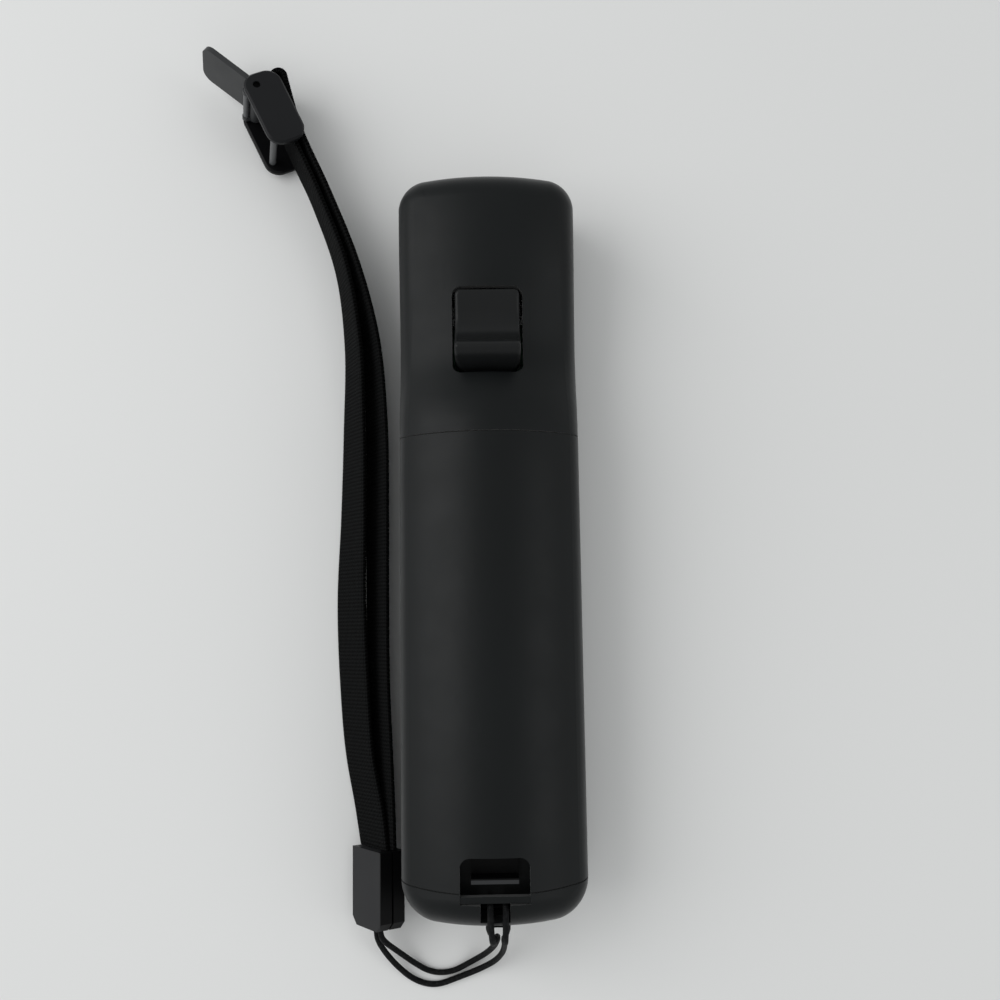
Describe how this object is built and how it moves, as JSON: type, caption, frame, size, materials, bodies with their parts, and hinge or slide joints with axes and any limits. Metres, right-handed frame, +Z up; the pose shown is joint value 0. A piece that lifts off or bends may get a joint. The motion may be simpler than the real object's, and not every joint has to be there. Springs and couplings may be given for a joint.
{
  "type": "motion controller wand",
  "caption": "Handheld motion controller lying on its buttons, with a finger trigger, a battery cover, an expansion port and a wrist strap with a lock clip.",
  "frame": {"origin": "under the middle of the controller, on the surface that it lies on", "axes": "+Z up, out of the controller's back; +Y towards its nose; +X across"},
  "size_m": [0.0804, 0.1993, 0.0307],
  "materials": {
    "black_shell": "satin moulded plastic",
    "back_shell": "fine-textured satin plastic",
    "cover_shell": "fine-textured satin plastic",
    "latch_plastic": "grey satin plastic",
    "trigger_plastic": "half-gloss plastic",
    "button_plastic": "half-gloss plastic",
    "main_button_plastic": "gloss plastic",
    "pairing_red": "red gloss plastic",
    "lamp_clear": "milky plastic",
    "window_dark": "dark infrared plastic",
    "lens_glass": "lens",
    "inner_black": "moulded plastic",
    "board_green": "solder mask",
    "keypad_rubber": "silicone",
    "steel": "bright steel",
    "cell_wrap": "printed wrap, plain",
    "port_plastic": "white moulded plastic",
    "cord_black": "braided cord",
    "clamp_plastic": "satin plastic",
    "webbing_black": "woven band",
    "clip_grey": "grey satin plastic"
  },
  "bodies": {
    "root": {"front_shell": "black_shell", "back_shell": "back_shell", "trigger_pin": "steel", "trigger_spring": "steel", "switch_bridge": "inner_black", "trigger_switch": "inner_black", "keypad_sheet": "keypad_rubber", "main_board": "board_green", "radio_shield": "steel", "processor_chip": "inner_black", "memory_chip": "inner_black", "motion_sensor": "inner_black", "speaker": "inner_black", "speaker_cone": "inner_black", "lamp_windows": "lamp_clear", "lamp_diodes": "lamp_clear", "infrared_window": "window_dark", "infrared_camera": "inner_black", "camera_lens": "lens_glass", "pairing_switch": "inner_black", "housing_screws": "steel", "left_cell": "cell_wrap", "right_cell": "cell_wrap", "nose_contacts": "steel", "tail_contacts": "steel", "rumble_motor": "steel", "motor_cradle": "inner_black", "expansion_port": "port_plastic", "port_contacts": "port_plastic", "strap_pin": "steel", "left_cord": "cord_black", "right_cord": "cord_black", "clamp_lower_half": "clamp_plastic", "clamp_upper_half": "clamp_plastic", "wrist_webbing": "webbing_black", "clip_lower_cheek": "clamp_plastic", "clip_upper_cheek": "clamp_plastic", "clip_post": "clip_grey", "clip_pin": "steel"},
    "battery_cover": {"battery_cover": "cover_shell"},
    "cover_latch": {"cover_latch": "latch_plastic"},
    "trigger": {"trigger": "trigger_plastic"},
    "cross_pad": {"cross_pad": "button_plastic"},
    "pairing_button": {"pairing_button": "pairing_red"},
    "rumble_weight": {"rumble_weight": "steel"},
    "clip_lever": {"clip_lever": "clip_grey", "clip_cam_pin": "clip_grey"},
    "power_button": {"power_button": "button_plastic"},
    "main_button": {"main_button": "main_button_plastic"},
    "minus_button": {"minus_button": "button_plastic"},
    "home_button": {"home_button": "button_plastic"},
    "plus_button": {"plus_button": "button_plastic"},
    "first_button": {"first_button": "button_plastic"},
    "second_button": {"second_button": "button_plastic"},
    "pad_ball": {"pad_ball": "inner_black"}
  },
  "joints": [
    {"name": "power_button_press", "type": "slide", "parent": "root", "child": "power_button", "axis": [0, 0, 1], "range_m": [0, 0.0005], "stiffness_N_per_m": 1200, "springref_m": -0.0005},
    {"name": "main_button_press", "type": "slide", "parent": "root", "child": "main_button", "axis": [0, 0, 1], "range_m": [0, 0.0009], "stiffness_N_per_m": 1200, "springref_m": -0.0005},
    {"name": "minus_button_press", "type": "slide", "parent": "root", "child": "minus_button", "axis": [0, 0, 1], "range_m": [0, 0.0005], "stiffness_N_per_m": 1200, "springref_m": -0.0005},
    {"name": "home_button_press", "type": "slide", "parent": "root", "child": "home_button", "axis": [0, 0, 1], "range_m": [0, 0.0005], "stiffness_N_per_m": 1200, "springref_m": -0.0005},
    {"name": "plus_button_press", "type": "slide", "parent": "root", "child": "plus_button", "axis": [0, 0, 1], "range_m": [0, 0.0005], "stiffness_N_per_m": 1200, "springref_m": -0.0005},
    {"name": "first_button_press", "type": "slide", "parent": "root", "child": "first_button", "axis": [0, 0, 1], "range_m": [0, 0.0009], "stiffness_N_per_m": 1200, "springref_m": -0.0005},
    {"name": "second_button_press", "type": "slide", "parent": "root", "child": "second_button", "axis": [0, 0, 1], "range_m": [0, 0.0009], "stiffness_N_per_m": 1200, "springref_m": -0.0005},
    {"name": "cross_pad_rock_lengthwise", "type": "hinge", "parent": "root", "child": "pad_ball", "pos_m": [0, 0.0525, 0.005], "axis": [1, 0, 0], "range_deg": [-2, 2], "stiffness_Nm_per_rad": 0.4},
    {"name": "cross_pad_rock_sideways", "type": "hinge", "parent": "pad_ball", "child": "cross_pad", "pos_m": [0, 0.0525, 0.005], "axis": [0, 1, 0], "range_deg": [-2, 2], "stiffness_Nm_per_rad": 0.4},
    {"name": "trigger_pull", "type": "hinge", "parent": "root", "child": "trigger", "pos_m": [0, 0.0522, 0.0208], "axis": [1, 0, 0], "range_deg": [0, 5], "stiffness_Nm_per_rad": 0.05, "springref_deg": -17.19},
    {"name": "battery_cover_lift", "type": "hinge", "parent": "root", "child": "battery_cover", "pos_m": [0, 0.0201, 0.0288], "axis": [-1, 0, 0], "range_deg": [0, 45]},
    {"name": "cover_latch_press", "type": "slide", "parent": "battery_cover", "child": "cover_latch", "axis": [0, 1, 0], "range_m": [0, 0.0009], "stiffness_N_per_m": 1500, "springref_m": -0.0005},
    {"name": "pairing_button_press", "type": "slide", "parent": "root", "child": "pairing_button", "axis": [0, 0, -1], "range_m": [0, 0.0004], "stiffness_N_per_m": 1200, "springref_m": -0.0005},
    {"name": "rumble_weight_spin", "type": "hinge", "parent": "root", "child": "rumble_weight", "pos_m": [0, 0.0138, 0.0125], "axis": [1, 0, 0], "continuous": true},
    {"name": "clip_lever_swing", "type": "hinge", "parent": "root", "child": "clip_lever", "pos_m": [-0.05013, 0.09711, 0.00854], "axis": [0.2184, 0.1041, 0.9703], "range_deg": [0, 135]}
  ]
}
